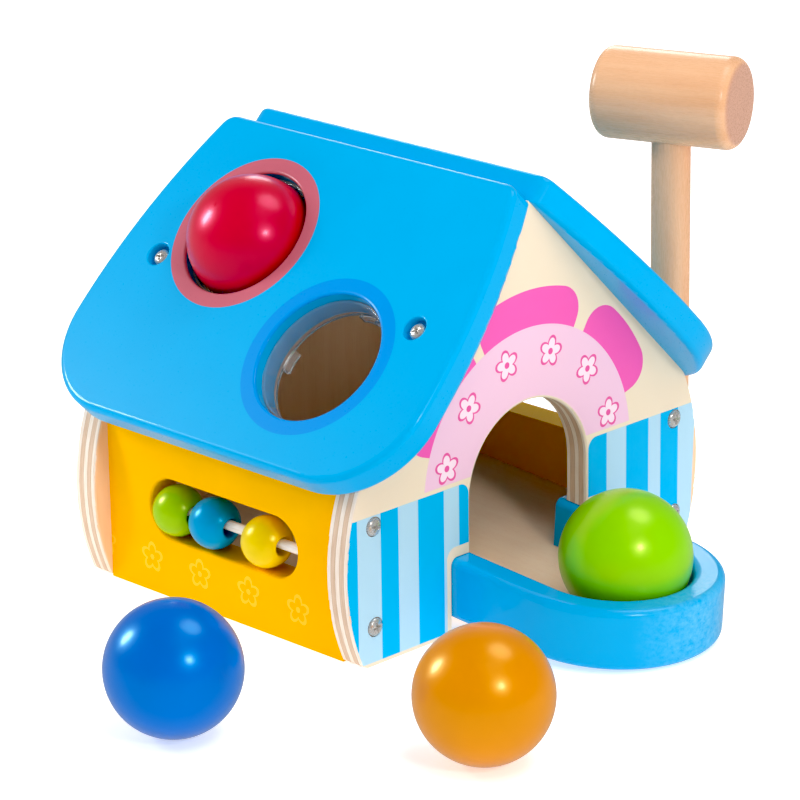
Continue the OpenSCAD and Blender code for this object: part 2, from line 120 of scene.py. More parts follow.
def bump(tree, height, depth, under=None):  # depth in mm between the lowest and the highest point
    node = tree.nodes.new("ShaderNodeBump")
    node.inputs["Strength"].default_value = 1.0
    node.inputs["Distance"].default_value = depth * mm
    feed(tree, node.inputs["Height"], height)
    if under is not None:
        feed(tree, node.inputs["Normal"], under)
    return node.outputs["Normal"]


# place on the piece in mm, from an origin and along turned axes
def pointInMm(tree, origin=(0, 0, 0), turn=(0, 0, 0)):
    coord = tree.nodes.new("ShaderNodeTexCoord")
    mapping = tree.nodes.new("ShaderNodeMapping")
    mapping.vector_type = "TEXTURE"
    mapping.inputs["Location"].default_value = [value * mm for value in origin]
    mapping.inputs["Rotation"].default_value = [math.radians(value) for value in turn]
    mapping.inputs["Scale"].default_value = (mm, mm, mm)
    tree.links.new(coord.outputs["Object"], mapping.inputs["Vector"])
    return mapping.outputs["Vector"]


def faceNormal(tree):
    return tree.nodes.new("ShaderNodeTexCoord").outputs["Normal"]


def inBand(tree, value, low, high):
    return calc(tree, "COMPARE", value, (low + high) / 2, (high - low) / 2)


def span(tree, across, up):  # distance from the point where both are zero
    squares = calc(tree, "MULTIPLY_ADD", across, across, calc(tree, "MULTIPLY", up, up))
    return calc(tree, "SQRT", squares)


def past(tree, value, limit):  # how far a value lies beyond a limit, on either side of zero
    return calc(tree, "MAXIMUM", calc(tree, "SUBTRACT", calc(tree, "ABSOLUTE", value), limit), 0)


def roundedBox(tree, across, up, halfAcross, halfUp, radius):  # 1 inside a box with round corners
    pastAcross = past(tree, across, halfAcross - radius)
    pastUp = past(tree, up, halfUp - radius)
    return calc(tree, "LESS_THAN", span(tree, pastAcross, pastUp), radius)


flowerShape = {  # the last three are shares of the flower's size
    "petals": 5,
    "wave": 0.22,
    "core": 0.28,
    "eye": 0.11,
}


def flower(tree, across, up, size, line):  # masks of a flower's outline with its eye, and of its petals
    look = flowerShape
    reach = span(tree, across, up)
    turn = calc(tree, "ARCTAN2", across, up)
    wave = calc(tree, "COSINE", calc(tree, "MULTIPLY", turn, look["petals"] / 2))
    edge = calc(tree, "MULTIPLY_ADD", calc(tree, "ABSOLUTE", wave), size * look["wave"], size * look["core"])
    outline = calc(tree, "COMPARE", reach, edge, line / 2)
    eye = calc(tree, "LESS_THAN", reach, size * look["eye"])
    return calc(tree, "MAXIMUM", outline, eye), calc(tree, "LESS_THAN", reach, edge)


# finishes

paintLook = {
    "mottleWaves": (0.05, 0.05, 0.05),
    "mottleRange": (0.3, 0.75),
    "mottleShare": 0.5,
    "mottleShade": (0.9, 0.93, 0.95, 1.0),
    "peelWaves": (1.1, 1.1, 1.1),
    "peelDepth": 0.008,
    "rough": (0.27, 0.34),
    "gloss": 0.15,
    "coat": 0.4,
    "coatRough": 0.06,
    "coatIor": 1.4,
}
wallMatt = dict(paintLook, gloss=0.01, coat=0.0)
trayGloss = dict(paintLook, rough=(0.2, 0.26), gloss=0.3, coat=0.25)  # rubbed smooth by the balls


def coatOfPaint(tree, shader, point, colour, look=paintLook):  # satin paint sprayed over sanded wood
    cloud = noise(tree, point, look["mottleWaves"])
    share = remap(tree, cloud, look["mottleRange"], (0.0, look["mottleShare"]))
    feed(tree, shader.inputs["Base Color"], mixColour(tree, share, colour, look["mottleShade"], "MULTIPLY"))
    peel = noise(tree, point, look["peelWaves"], detail=2.0)
    feed(tree, shader.inputs["Roughness"], remap(tree, peel, noiseSpread, look["rough"]))
    feed(tree, shader.inputs["Normal"], bump(tree, peel, look["peelDepth"]))
    shader.inputs["Specular IOR Level"].default_value = look["gloss"]
    shader.inputs["Coat Weight"].default_value = look["coat"]
    shader.inputs["Coat Roughness"].default_value = look["coatRough"]
    shader.inputs["Coat IOR"].default_value = look["coatIor"]


veneerGrain = {
    "figureRange": (0.32, 0.7),
    "figureShare": 0.8,
    "poreRange": (0.6, 0.78),
    "poreShare": 0.5,
}
boardVeneer = {
    "pale": tint(250, 208, 170),
    "dark": tint(243, 196, 154),
    "pore": tint(218, 166, 124),
    "figureWaves": (0.16, 0.2, 0.012),
    "poreWaves": (2.2, 0.4, 0.05),
}
# birch like the gables' faces, set paler as painted light: little real light reaches the ramp in the doorway
rampVeneerBrightened = {
    "pale": tint(255, 220, 184),
    "dark": tint(250, 210, 172),
    "pore": tint(228, 180, 142),
    "figureWaves": (0.2, 0.014, 0.2),
    "poreWaves": (2.4, 0.3, 0.4),
}


def veneer(tree, point, look):  # birch face: broad figure and fine pores along the grain
    figure = noise(tree, point, look["figureWaves"], detail=4.0)
    pores = noise(tree, point, look["poreWaves"], detail=2.0, roughness=0.7)
    figureShare = remap(tree, figure, veneerGrain["figureRange"], (0.0, veneerGrain["figureShare"]))
    poreShare = remap(tree, pores, veneerGrain["poreRange"], (0.0, veneerGrain["poreShare"]))
    colour = mixColour(tree, figureShare, look["pale"], look["dark"])
    return mixColour(tree, poreShare, colour, look["pore"]), pores


plyLook = {
    "count": 5,
    "long": tint(250, 237, 222),
    "end": tint(228, 200, 174),
    "glue": tint(188, 150, 116),
    "glueShare": 0.05,
    "glueShow": 0.7,
    "wobbleWaves": (0.06, 0.06, 0.06),
    "wobble": 0.5,
    "streakWaves": (0.12, 3.0, 0.12),
    "streakRange": (0.4, 0.75),
    "longStreak": 0.7,
    "endStreak": 0.6,
}


def plyLayers(tree, point, acrossBoard, thickness):  # the plies that show on a cut edge
    look = plyLook
    wobble = noise(tree, point, look["wobbleWaves"])
    depth = calc(tree, "MULTIPLY_ADD", wobble, look["wobble"], acrossBoard)
    layer = calc(tree, "DIVIDE", depth, thickness / look["count"])
    odd = calc(tree, "MODULO", calc(tree, "ABSOLUTE", calc(tree, "FLOOR", layer)), 2)
    inLayer = calc(tree, "ABSOLUTE", calc(tree, "SUBTRACT", calc(tree, "FRACT", layer), 0.5))
    glue = calc(tree, "GREATER_THAN", inLayer, 0.5 - look["glueShare"])
    streak = noise(tree, point, look["streakWaves"], roughness=0.7)
    longShare = remap(tree, streak, look["streakRange"], (0.0, look["longStreak"]))
    endShare = remap(tree, streak, look["streakRange"], (0.0, look["endStreak"]))
    long = mixColour(tree, longShare, look["long"], look["end"])
    end = mixColour(tree, endShare, look["end"], look["glue"])
    layers = mixColour(tree, odd, long, end)
    return mixColour(tree, calc(tree, "MULTIPLY", glue, look["glueShow"]), layers, look["glue"]), streak


gablePrint = {  # places in mm, the lobes and the flowers' step in degrees
    "cream": tint(239, 220, 193),
    "stripe": tint(0, 178, 232),
    "stripePale": tint(178, 215, 233),
    "band": tint(241, 197, 219),
    "lobe": tint(243, 97, 179),
    "line": tint(232, 92, 160),
    "petal": tint(250, 222, 234),
    "wrap": 0.3,
    "bareEnd": 91.4,
    "bareSlant": 0.05,
    "stripeTop": 58.3,
    "stripeFoot": 1.4,
    "stripeInner": 32.7,
    "stripeOuter": 110.0,
    "stripeCorner": 4.5,
    "paleLeft": ((-90.4, -78.5), (-69.5, -59.2), (-45.8, -37.8)),
    "paleRight": ((43.1, 54.2), (67.0, 74.0), (84.2, 110.0)),
    "trayHalfW": 44.4,
    "trayTop": 34.6,
    "archZ": 54.5,
    "doorZ": 50.0,
    "doorR": 33.0,
    "archOuter": 56.0,
    "archFoot": 60.0,
    "lobeOuter": 70.5,
    "lobeCorner": 11.0,
    "lobes": ((18, 58), (64, 115), (120, 161)),
    "flowerR": 45.5,
    "flowerStep": 30,
    "flowerSize": 11.5,
    "flowerLine": 1.1,
}


def printedArch(tree, x, z):  # lobes, arch band and a row of flowers on cream
    look = gablePrint
    up = calc(tree, "SUBTRACT", z, look["archZ"])
    reach = span(tree, x, up)
    angle = calc(tree, "ARCTAN2", up, x)
    colour = look["cream"]
    midR = (look["archOuter"] + look["lobeOuter"]) / 2
    lobeHalf = look["lobeOuter"] - look["doorR"]
    for start, end in look["lobes"]:
        along = calc(tree, "MULTIPLY", calc(tree, "SUBTRACT", angle, math.radians((start + end) / 2)), midR)
        out = calc(tree, "SUBTRACT", reach, look["doorR"])
        halfAlong = math.radians(end - start) / 2 * midR
        mask = roundedBox(tree, along, out, halfAlong, lobeHalf, look["lobeCorner"])
        colour = mixColour(tree, mask, colour, look["lobe"])
    aboveStripes = calc(tree, "GREATER_THAN", z, look["archFoot"])
    bandMask = calc(tree, "MULTIPLY", calc(tree, "LESS_THAN", reach, look["archOuter"]), aboveStripes)
    colour = mixColour(tree, bandMask, colour, look["band"])
    step = math.radians(look["flowerStep"])
    turn = calc(tree, "SUBTRACT", calc(tree, "WRAP", angle, step, 0.0), step / 2)
    across = calc(tree, "MULTIPLY", reach, calc(tree, "SINE", turn))
    out = calc(tree, "SUBTRACT", calc(tree, "MULTIPLY", reach, calc(tree, "COSINE", turn)), look["flowerR"])
    line, petal = flower(tree, across, out, look["flowerSize"], look["flowerLine"])
    colour = mixColour(tree, calc(tree, "MULTIPLY", petal, bandMask), colour, look["petal"])
    colour = mixColour(tree, calc(tree, "MULTIPLY", line, bandMask), colour, look["line"])
    fromDoor = span(tree, x, calc(tree, "SUBTRACT", z, look["doorZ"]))
    return mixColour(tree, calc(tree, "LESS_THAN", fromDoor, look["doorR"]), colour, look["cream"])


def printedFace(tree, x, z):  # the arch, with stripes on both sides of the doorway
    look = gablePrint
    halfUp = (look["stripeTop"] - look["stripeFoot"]) / 2
    halfAcross = (look["stripeOuter"] - look["stripeInner"]) / 2
    sideX = calc(tree, "SUBTRACT", calc(tree, "ABSOLUTE", x), look["stripeInner"] + halfAcross)
    sideZ = calc(tree, "SUBTRACT", z, look["stripeFoot"] + halfUp)
    stripes = roundedBox(tree, sideX, sideZ, halfAcross, halfUp, look["stripeCorner"])
    tray = roundedBox(tree, x, z, look["trayHalfW"], look["trayTop"], look["stripeCorner"])
    stripes = calc(tree, "MULTIPLY", stripes, calc(tree, "SUBTRACT", 1.0, tray))
    pale = 0.0
    for low, high in look["paleLeft"] + look["paleRight"]:
        pale = calc(tree, "ADD", inBand(tree, x, low, high), pale)
    stripeColour = mixColour(tree, pale, look["stripe"], look["stripePale"])
    return mixColour(tree, stripes, printedArch(tree, x, z), stripeColour)


gableWood = {
    "faceFrom": 0.7,
    "rough": (0.42, 0.6),
    "gloss": 0.15,
    "grainDepth": 0.03,
}


def gableMaterial(name, printed):
    material, tree, shader = newMaterial(name)
    low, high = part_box("front_gable" if printed else "rear_gable")
    point = pointInMm(tree)
    x, y, z = split(tree, point)
    normalY = split(tree, faceNormal(tree))[1]
    face, pores = veneer(tree, point, boardVeneer)
    acrossBoard = calc(tree, "SUBTRACT", y, low.y / mm)
    edge, streak = plyLayers(tree, point, acrossBoard, (high.y - low.y) / mm)
    onFace = calc(tree, "GREATER_THAN", calc(tree, "ABSOLUTE", normalY), gableWood["faceFrom"])
    colour = mixColour(tree, onFace, edge, face)
    if printed:
        onFront = calc(tree, "LESS_THAN", acrossBoard, gablePrint["wrap"])
        fromEnd = calc(tree, "MULTIPLY_ADD", z, -gablePrint["bareSlant"], x)
        inPrint = calc(tree, "LESS_THAN", fromEnd, gablePrint["bareEnd"])  # the print stops short of one edge
        colour = mixColour(tree, calc(tree, "MULTIPLY", onFront, inPrint), colour, printedFace(tree, x, z))
    feed(tree, shader.inputs["Base Color"], colour)
    feed(tree, shader.inputs["Roughness"], remap(tree, streak, noiseSpread, gableWood["rough"]))
    shader.inputs["Specular IOR Level"].default_value = gableWood["gloss"]
    grain = calc(tree, "MULTIPLY", calc(tree, "ADD", pores, streak), 0.5)
    feed(tree, shader.inputs["Normal"], bump(tree, grain, gableWood["grainDepth"]))
    return material


roofPaint = {
    "blue": tint(0, 169, 228),
    "redRing": tint(196, 102, 118),
    "blueRing": tint(0, 145, 224),
    "ringOuter": 33.4,
    "redHole": (46.85, 34.0),
    "emptyHole": (86.15, -34.0),
    "topFrom": 11.0,
    "ridgeZ": 159.3,
    "slope": (180, 135, 0),
}


def roofMaterial(name, ringed):
    material, tree, shader = newMaterial(name)
    point = pointInMm(tree)
    colour = roofPaint["blue"]
    if ringed:
        slope = pointInMm(tree, (0, 0, roofPaint["ridgeZ"]), roofPaint["slope"])
        down, along, out = split(tree, slope)
        topFace = calc(tree, "GREATER_THAN", out, roofPaint["topFrom"])
        for hole, ring in (("redHole", "redRing"), ("emptyHole", "blueRing")):
            holeDown, holeY = roofPaint[hole]
            fromHole = span(tree, calc(tree, "SUBTRACT", down, holeDown), calc(tree, "ADD", along, holeY))
            inRing = calc(tree, "LESS_THAN", fromHole, roofPaint["ringOuter"])
            colour = mixColour(tree, calc(tree, "MULTIPLY", inRing, topFace), colour, roofPaint[ring])
    coatOfPaint(tree, shader, point, colour)
    return material


wallPaint = {
    "yellow": tint(255, 188, 0),
    "motif": tint(255, 203, 60),
    "motifZ": 14.0,
    "motifStep": 27.0,
    "motifSize": 11.0,
    "motifLine": 1.6,
    "outside": -0.7,
}


def wallMaterial(name, motif):
    material, tree, shader = newMaterial(name)
    point = pointInMm(tree)
    colour = wallPaint["yellow"]
    if motif:
        y, z = split(tree, point)[1:]
        step = wallPaint["motifStep"]
        along = calc(tree, "SUBTRACT", calc(tree, "WRAP", y, step, 0.0), step / 2)
        up = calc(tree, "SUBTRACT", z, wallPaint["motifZ"])
        line = flower(tree, along, up, wallPaint["motifSize"], wallPaint["motifLine"])[0]
        onOutside = calc(tree, "LESS_THAN", split(tree, faceNormal(tree))[0], wallPaint["outside"])
        colour = mixColour(tree, calc(tree, "MULTIPLY", line, onOutside), colour, wallPaint["motif"])
    coatOfPaint(tree, shader, point, colour, wallMatt)
    return material


trayScuffsAndSheen = {
    # the pale specks are partly scuffs and partly a painted sheen, in the colour of light caught on the rim's
    # curved front
    "scuffAndSheen": tint(124, 206, 240),
    "place": (4.0, -170.0, 14.0),
    "reach": (8.0, 36.0),
    "share": 0.65,
    "speckWaves": (0.34, 0.34, 0.44),
    "speckRange": (0.36, 0.66),
}


def trayMaterial(name):  # the roof's blue, with pale specks on the rim's round front end: scuffs where balls knock, and a painted sheen of light on that curved face
    material, tree, shader = newMaterial(name)
    point = pointInMm(tree)
    specks = noise(tree, point, trayScuffsAndSheen["speckWaves"], detail=6.0, roughness=0.72)
    specks = remap(tree, specks, trayScuffsAndSheen["speckRange"])
    # the specks gather round one place on the rim's front: scuffs mixed with a painted sheen
    reach = vectorCalc(tree, "DISTANCE", point, trayScuffsAndSheen["place"])
    wearAndSheen = remap(tree, reach, trayScuffsAndSheen["reach"], (trayScuffsAndSheen["share"], 0.0))
    colour = mixColour(tree, calc(tree, "MULTIPLY", specks, wearAndSheen), roofPaint["blue"], trayScuffsAndSheen["scuffAndSheen"])
    coatOfPaint(tree, shader, point, colour, trayGloss)
    return material


rampWood = {
    "rough": (0.45, 0.62),
    "gloss": 0.15,
    "grainDepth": 0.03,
}


def rampMaterial(name):
    material, tree, shader = newMaterial(name)
    point = pointInMm(tree)
    face, pores = veneer(tree, point, rampVeneerBrightened)
    feed(tree, shader.inputs["Base Color"], face)
    feed(tree, shader.inputs["Roughness"], remap(tree, pores, noiseSpread, rampWood["rough"]))
    shader.inputs["Specular IOR Level"].default_value = rampWood["gloss"]
    feed(tree, shader.inputs["Normal"], bump(tree, pores, rampWood["grainDepth"]))
    return material


lacquers = {
    "ball_red": {"colour": tint(207, 0, 42), "sheen": (1.0, 0.16, 0.4, 1.0), "coat": 0.45},
    "ball_green": {"colour": tint(137, 215, 8), "sheen": (1.0, 0.95, 0.18, 1.0), "coat": 0.35},
    "ball_blue": {"colour": tint(0, 100, 201), "sheen": (0.02, 0.66, 1.0, 1.0), "coat": 0.5},
    "ball_orange": {"colour": tint(221, 135, 5), "sheen": (1.0, 0.77, 0.16, 1.0), "coat": 0.35},
    "bead_green": {"colour": tint(154, 206, 8), "sheen": (1.0, 0.95, 0.18, 1.0), "coat": 0.25},
    "bead_blue": {"colour": tint(0, 156, 212), "sheen": (0.02, 0.6, 1.0, 1.0), "coat": 0.25},
    "bead_yellow": {"colour": tint(250, 216, 0), "sheen": (1.0, 0.9, 0.2, 1.0), "coat": 0.25},
}
lacquerSurface = {
    "cloudWaves": (0.06, 0.06, 0.06),
    "cloudRange": (0.35, 0.7),
    "cloudShare": 0.35,
    "cloudShade": (0.86, 0.86, 0.86, 1.0),
    "fineWaves": (1.6, 1.6, 1.6),
    "fineDepth": 0.006,
    "slowWaves": (0.09, 0.09, 0.09),
    "slowDepth": 0.12,
    "rough": (0.28, 0.36),
    "ior": 1.65,
    "gloss": 1.0,
    "coatRough": 0.17,
    "coatIor": 1.4,
}


def lacquerMaterial(name, look):  # coloured lacquer with a soft sheen under a thin clear coat
    surface = lacquerSurface
    material, tree, shader = newMaterial(name)
    point = pointInMm(tree)
    cloud = noise(tree, point, surface["cloudWaves"])
    share = remap(tree, cloud, surface["cloudRange"], (0.0, surface["cloudShare"]))
    colour = mixColour(tree, share, look["colour"], surface["cloudShade"], "MULTIPLY")
    feed(tree, shader.inputs["Base Color"], colour)
    fine = noise(tree, point, surface["fineWaves"], detail=2.0)
    feed(tree, shader.inputs["Roughness"], remap(tree, fine, noiseSpread, surface["rough"]))
    slow = bump(tree, noise(tree, point, surface["slowWaves"], detail=1.0), surface["slowDepth"])
    feed(tree, shader.inputs["Normal"], bump(tree, fine, surface["fineDepth"], slow))
    feed(tree, shader.inputs["Coat Normal"], slow)
    shader.inputs["IOR"].default_value = surface["ior"]
    shader.inputs["Specular IOR Level"].default_value = surface["gloss"]
    shader.inputs["Specular Tint"].default_value = look["sheen"]
    shader.inputs["Coat Weight"].default_value = look["coat"]
    shader.inputs["Coat Roughness"].default_value = surface["coatRough"]
    shader.inputs["Coat IOR"].default_value = surface["coatIor"]
    return material


beechLook = {
    "pale": tint(240, 189, 147),
    "dark": tint(229, 172, 128),
    "fleck": tint(206, 150, 106),
    "endGrain": tint(204, 154, 128),
    "endPore": tint(184, 132, 106),
    "figureWaves": (0.014, 0.16, 0.16),
    "fleckWaves": (0.16, 1.7, 1.7),
    "fleckRange": (0.58, 0.74),
    "fleckShare": 0.4,
    "poreWaves": (0.1, 2.4, 2.4),
    "poreRange": (0.5, 0.7),
    "poreShare": 0.6,
    "endFacing": (0.8, 0.97),
    "rough": (0.22, 0.34),
    "grainDepth": 0.02,
}


def beechMaterial(name, origin, turn, endAxis):  # the grain runs along the first turned axis
    look = beechLook
    material, tree, shader = newMaterial(name)
    point = pointInMm(tree, origin, turn)
    figure = noise(tree, point, look["figureWaves"], detail=4.0)
    fleck = noise(tree, point, look["fleckWaves"], detail=2.0, roughness=0.7)
    pore = noise(tree, point, look["poreWaves"], detail=2.0, roughness=0.7)
    fleckShare = remap(tree, fleck, look["fleckRange"], (0.0, look["fleckShare"]))
    poreShare = remap(tree, pore, look["poreRange"], (0.0, look["poreShare"]))
    side = mixColour(tree, remap(tree, figure, noiseSpread), look["pale"], look["dark"])
    side = mixColour(tree, fleckShare, side, look["fleck"])
    end = mixColour(tree, poreShare, look["endGrain"], look["endPore"])
    facing = calc(tree, "ABSOLUTE", vectorCalc(tree, "DOT_PRODUCT", faceNormal(tree), endAxis))
    onEnd = remap(tree, facing, look["endFacing"])
    feed(tree, shader.inputs["Base Color"], mixColour(tree, onEnd, side, end))
    feed(tree, shader.inputs["Roughness"], remap(tree, fleck, noiseSpread, look["rough"]))
    feed(tree, shader.inputs["Normal"], bump(tree, fleck, look["grainDepth"]))
    return material


steelLook = {
    "pale": tint(236, 233, 228),
    "dark": tint(196, 190, 184),
    "grainWaves": (1.5, 1.5, 1.5),
    "grainRange": (0.35, 0.7),
    "metal": 0.7,
    "rough": (0.18, 0.34),
    "grainDepth": 0.01,
}


def steelMaterial(name):
    look = steelLook
    material, tree, shader = newMaterial(name)
    grain = noise(tree, pointInMm(tree), look["grainWaves"])
    colour = mixColour(tree, remap(tree, grain, look["grainRange"]), look["pale"], look["dark"])
    feed(tree, shader.inputs["Base Color"], colour)
    feed(tree, shader.inputs["Roughness"], remap(tree, grain, noiseSpread, look["rough"]))
    feed(tree, shader.inputs["Normal"], bump(tree, grain, look["grainDepth"]))
    shader.inputs["Metallic"].default_value = look["metal"]
    return material


clearLook = {
    "colour": tint(248, 250, 252),
    "clear": 0.88,
    "ior": 1.42,
    "hazeWaves": (0.4, 0.4, 0.4),
    "hazeDepth": 0.05,
    "rough": (0.03, 0.1),
}


def ringMaterial(name):
    look = clearLook
    material, tree, shader = newMaterial(name)
    haze = noise(tree, pointInMm(tree), look["hazeWaves"])
    feed(tree, shader.inputs["Roughness"], remap(tree, haze, noiseSpread, look["rough"]))
    feed(tree, shader.inputs["Normal"], bump(tree, haze, look["hazeDepth"]))
    shader.inputs["Base Color"].default_value = look["colour"]
    shader.inputs["Transmission Weight"].default_value = look["clear"]
    shader.inputs["IOR"].default_value = look["ior"]
    return material


dowelLook = {
    "pale": tint(250, 244, 236),
    "dark": tint(232, 220, 204),
    "grainWaves": (1.2, 0.05, 1.2),
    "grainRange": (0.4, 0.7),
    "rough": 0.45,
    "grainDepth": 0.02,
}


def dowelMaterial(name):
    look = dowelLook
    material, tree, shader = newMaterial(name)
    grain = noise(tree, pointInMm(tree), look["grainWaves"])
    colour = mixColour(tree, remap(tree, grain, look["grainRange"]), look["pale"], look["dark"])
    feed(tree, shader.inputs["Base Color"], colour)
    feed(tree, shader.inputs["Normal"], bump(tree, grain, look["grainDepth"]))
    shader.inputs["Roughness"].default_value = look["rough"]
    return material


def dress(nodeName, material):
    nodes[nodeName].data.materials.clear()
    nodes[nodeName].data.materials.append(material)


malletTurn = -70.0
headLow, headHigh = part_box("mallet_head")
headMid = (headLow + headHigh) / 2 / mm
headAxis = (math.cos(math.radians(malletTurn)), math.sin(math.radians(malletTurn)), 0.0)

dress("front_gable", gableMaterial("printedPly", True))
dress("rear_gable", gableMaterial("barePly", False))
dress("left_wall", wallMaterial("yellowPaintLeft", True))
dress("right_wall", wallMaterial("yellowPaintRight", False))
dress("ramp", rampMaterial("rampPly"))
dress("tray_rim", trayMaterial("trayBlue"))
dress("left_roof", roofMaterial("roofBlueRinged", True))
dress("right_roof", roofMaterial("roofBlue", False))
dress("bead_rod", dowelMaterial("whiteDowel"))
for nodeName, look in lacquers.items():
    dress(nodeName, lacquerMaterial(nodeName + "Lacquer", look))
dress("mallet_head", beechMaterial("beechHead", headMid, (0, 0, malletTurn), headAxis))
dress("mallet_handle", beechMaterial("beechHandle", headMid, (0, 90, 0), (0, 0, 1)))
screwSteel = steelMaterial("nickelSteel")
clearRing = ringMaterial("clearRing")
print("finishes on", len(bpy.data.materials), "materials")


# pieces modelled here: screws with cross recesses and softened grip rings

def pickFaces(piece, rule):
    bpy.ops.object.mode_set(mode="EDIT")
    bpy.ops.mesh.select_mode(type="FACE")
    bpy.ops.mesh.select_all(action="DESELECT")
    bpy.ops.object.mode_set(mode="OBJECT")
    for face in piece.data.polygons:
        face.select = rule(face.center)
    bpy.ops.object.mode_set(mode="EDIT")


def pickVerts(piece, rule):
    bpy.ops.object.mode_set(mode="EDIT")
    bpy.ops.mesh.select_mode(type="VERT")
    bpy.ops.mesh.select_all(action="DESELECT")
    bpy.ops.object.mode_set(mode="OBJECT")
    for vertex in piece.data.vertices:
        vertex.select = rule(vertex.co)
    bpy.ops.object.mode_set(mode="EDIT")


def extrude(x, y, z):
    bpy.ops.mesh.extrude_region_move(TRANSFORM_OT_translate={"value": (x, y, z)})


def pickPiece(piece):
    bpy.ops.object.select_all(action="DESELECT")
    piece.select_set(True)
    bpy.context.view_layer.objects.active = piece


def useModifier(piece, kind, **settings):
    pickPiece(piece)
    modifier = piece.modifiers.new(kind.lower(), kind)
    for name, value in settings.items():
        setattr(modifier, name, value)
    bpy.ops.object.modifier_apply(modifier=modifier.name)


def copyTo(piece, matrix):
    copy = piece.copy()
    copy.data = piece.data.copy()
    bpy.context.collection.objects.link(copy)
    copy.data.transform(matrix @ Matrix.Scale(mm, 4))
    return copy


def finishPiece(piece, name, nodeName, material):
    piece.name = name
    piece.data.name = name
    piece.data.materials.clear()
    piece.data.materials.append(material)
    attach(piece, "house")
    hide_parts(nodeName)


def slopeMatrix(side, down, along, out):  # a place on a roof slope, with X down the slope and Z out of it
    slant = math.sqrt(0.5)  # both slopes lie at 45 degrees
    downWay = Vector((side * slant, 0, -slant))
    outWay = Vector((side * slant, 0, slant))
    turn = Matrix((downWay, outWay.cross(downWay), outWay)).transposed().to_4x4()
    place = Vector((0, along, roofPaint["ridgeZ"])) + downWay * down + outWay * out
    return Matrix.Translation(place * mm) @ turn


screwLook = {
    "sides": 64,
    "headR": 3.5,
    "headH": 2.4,
    "dome": ((3.5, 0.7), (3.38, 1.15), (3.06, 1.6), (2.5, 2.0), (1.7, 2.28), (0.8, 2.39)),
    "shankR": 1.7,
    "shankLen": 25.2,
    "tipLen": 4.8,
    "tipShare": 0.2,
    "crossLen": 4.5,
    "crossW": 1.15,
    "crossAbove": 0.1,
    "crossDeep": 2.0,
    "crossTaper": 0.42,
    "rim": 0.07,
    "rimAngle": 40,
    "smoothAngle": 35,
    "gableX": 82.0,
    "gableY": 74.1,
    "gableZ": (15.0, 54.0),
    "roofDown": 65.0,
    "roofY": 69.6,
    "roofOut": 8.5,
    "turns": (12, 67, 38, 81, 24, 55, 5, 73, 44, 18, 62, 30),
}


def modelCross():  # the tapered cross that is cut out of a screw's head
    look = screwLook
    bpy.ops.object.select_all(action="DESELECT")
    bpy.ops.mesh.primitive_grid_add(x_subdivisions=3, y_subdivisions=3, size=look["crossLen"])
    cross = bpy.context.active_object
    third = look["crossLen"] / 3
    squeeze = look["crossW"] / third
    pickVerts(cross, lambda co: abs(co.x) < third)
    bpy.ops.transform.resize(value=(squeeze, 1, 1), center_override=(0, 0, 0))
    pickVerts(cross, lambda co: abs(co.y) < third)
    bpy.ops.transform.resize(value=(1, squeeze, 1), center_override=(0, 0, 0))
    pickFaces(cross, lambda centre: min(abs(centre.x), abs(centre.y)) > look["crossW"] / 2)
    bpy.ops.mesh.delete(type="FACE")
    bpy.ops.mesh.select_all(action="SELECT")
    bpy.ops.transform.translate(value=(0, 0, look["headH"] + look["crossAbove"]))
    extrude(0, 0, -look["crossDeep"])
    bpy.ops.transform.resize(value=(look["crossTaper"], look["crossTaper"], 1))
    bpy.ops.mesh.select_all(action="SELECT")
    bpy.ops.mesh.normals_make_consistent(inside=False)
    bpy.ops.object.mode_set(mode="OBJECT")
    return cross


def modelScrew():
    look = screwLook
    bpy.ops.object.select_all(action="DESELECT")
    bpy.ops.mesh.primitive_circle_add(vertices=look["sides"], radius=look["headR"], fill_type="NGON")
    screw = bpy.context.active_object
    bpy.ops.object.mode_set(mode="EDIT")
    bpy.ops.mesh.select_all(action="SELECT")
    ringR, ringZ = look["headR"], 0.0
    for nextR, nextZ in look["dome"]:
        extrude(0, 0, nextZ - ringZ)
        bpy.ops.transform.resize(value=(nextR / ringR, nextR / ringR, 1))
        ringR, ringZ = nextR, nextZ
    pickFaces(screw, lambda centre: centre.z < hair)
    bpy.ops.mesh.inset(thickness=look["headR"] - look["shankR"])
    extrude(0, 0, -look["shankLen"])
    extrude(0, 0, -look["tipLen"])
    bpy.ops.transform.resize(value=(look["tipShare"], look["tipShare"], 1))
    bpy.ops.object.mode_set(mode="OBJECT")
    cross = modelCross()
    useModifier(screw, "BOOLEAN", object=cross, operation="DIFFERENCE", solver="EXACT")
    bpy.data.objects.remove(cross)
    useModifier(screw, "BEVEL", width=look["rim"], segments=2, angle_limit=math.radians(look["rimAngle"]))
    bpy.ops.object.shade_smooth_by_angle(angle=math.radians(look["smoothAngle"]))
    return screw


screw = modelScrew()
screwSets = {
    "front_gable_screws": [],
    "rear_gable_screws": [],
    "left_roof_screws": [],
    "right_roof_screws": [],
}
for side, nodeName in ((-1, "front_gable_screws"), (1, "rear_gable_screws")):
    for x in (-screwLook["gableX"], screwLook["gableX"]):
        for z in screwLook["gableZ"]:
            place = Matrix.Translation(Vector((x, side * screwLook["gableY"], z)) * mm)
            screwSets[nodeName].append(place @ Matrix.Rotation(math.radians(-90 * side), 4, "X"))
for side, nodeName in ((-1, "left_roof_screws"), (1, "right_roof_screws")):
    for y in (-screwLook["roofY"], screwLook["roofY"]):
        screwSets[nodeName].append(slopeMatrix(side, screwLook["roofDown"], y, screwLook["roofOut"]))
turns = iter(screwLook["turns"])
for nodeName, places in screwSets.items():
    copies = [copyTo(screw, place @ Matrix.Rotation(math.radians(next(turns)), 4, "Z")) for place in places]
    bpy.ops.object.select_all(action="DESELECT")
    for copy in copies:
        copy.select_set(True)
    bpy.context.view_layer.objects.active = copies[0]
    bpy.ops.object.join()
    finishPiece(copies[0], nodeName + ".crossHead", nodeName, screwSteel)
bpy.data.objects.remove(screw)
print("screws set:", len(screwLook["turns"]))

